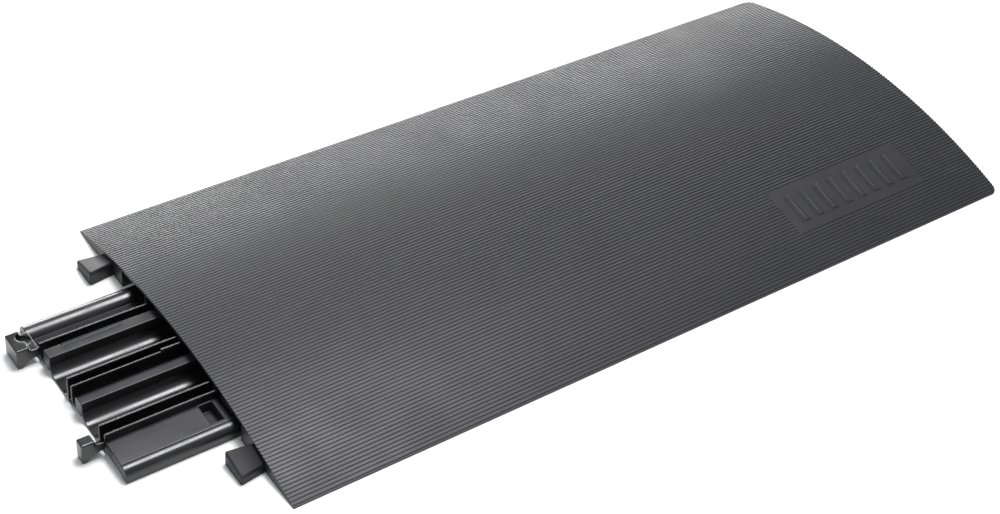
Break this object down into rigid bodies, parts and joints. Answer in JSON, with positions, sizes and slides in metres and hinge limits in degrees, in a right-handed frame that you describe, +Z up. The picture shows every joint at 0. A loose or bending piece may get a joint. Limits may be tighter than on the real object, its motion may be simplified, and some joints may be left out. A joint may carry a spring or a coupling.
{
  "type": "cable protector ramp",
  "caption": "Low arched cable ramp: a ribbed drive-over cover with dovetail tabs, lifted off a channelled cable tray with hook connectors.",
  "frame": {"origin": "on the floor under the middle of the cover, on the flat foot of the tray's middle keyway", "axes": "+X along the cables towards the plain (socket) end, +Y across the ramp towards the far rail, +Z up from the floor"},
  "size_m": [0.999, 0.41, 0.034],
  "materials": {
    "cover_plastic": "satin-matte moulded charcoal plastic with ribbed tread",
    "tab_plastic": "smooth matte charcoal plastic",
    "badge_plastic": "smooth satin charcoal plastic, blank",
    "tray_plastic": "high-gloss black moulded plastic with fine handling scratches"
  },
  "bodies": {
    "tray": {"rail_far": "tray_plastic", "channel_far": "tray_plastic", "keyway_far": "tray_plastic", "divider_far": "tray_plastic", "trough_far": "tray_plastic", "keyway_middle": "tray_plastic", "divider_near": "tray_plastic", "trough_near": "tray_plastic", "keyway_near": "tray_plastic", "edge_land": "tray_plastic", "rail_near": "tray_plastic", "hook_far": "tray_plastic", "hook_near": "tray_plastic", "sill_far": "tray_plastic", "sill_near": "tray_plastic"},
    "cover": {"cover_skin": "cover_plastic", "badge_pad": "badge_plastic", "wing_wall_far": "cover_plastic", "wing_wall_near": "cover_plastic", "wing_webs_far": "cover_plastic", "wing_webs_near": "cover_plastic", "end_plate_far": "cover_plastic", "end_plate_near": "cover_plastic", "socket_far": "cover_plastic", "socket_near": "cover_plastic", "keel_far": "cover_plastic", "keel_middle": "cover_plastic", "keel_near": "cover_plastic", "lug_left": "cover_plastic", "lug_right": "cover_plastic", "tab_far": "tab_plastic", "tab_near": "tab_plastic"}
  },
  "joints": [
    {"name": "cover_lift", "type": "slide", "parent": "tray", "child": "cover", "axis": [0, 0, 1], "range_m": [0, 0.12]}
  ]
}
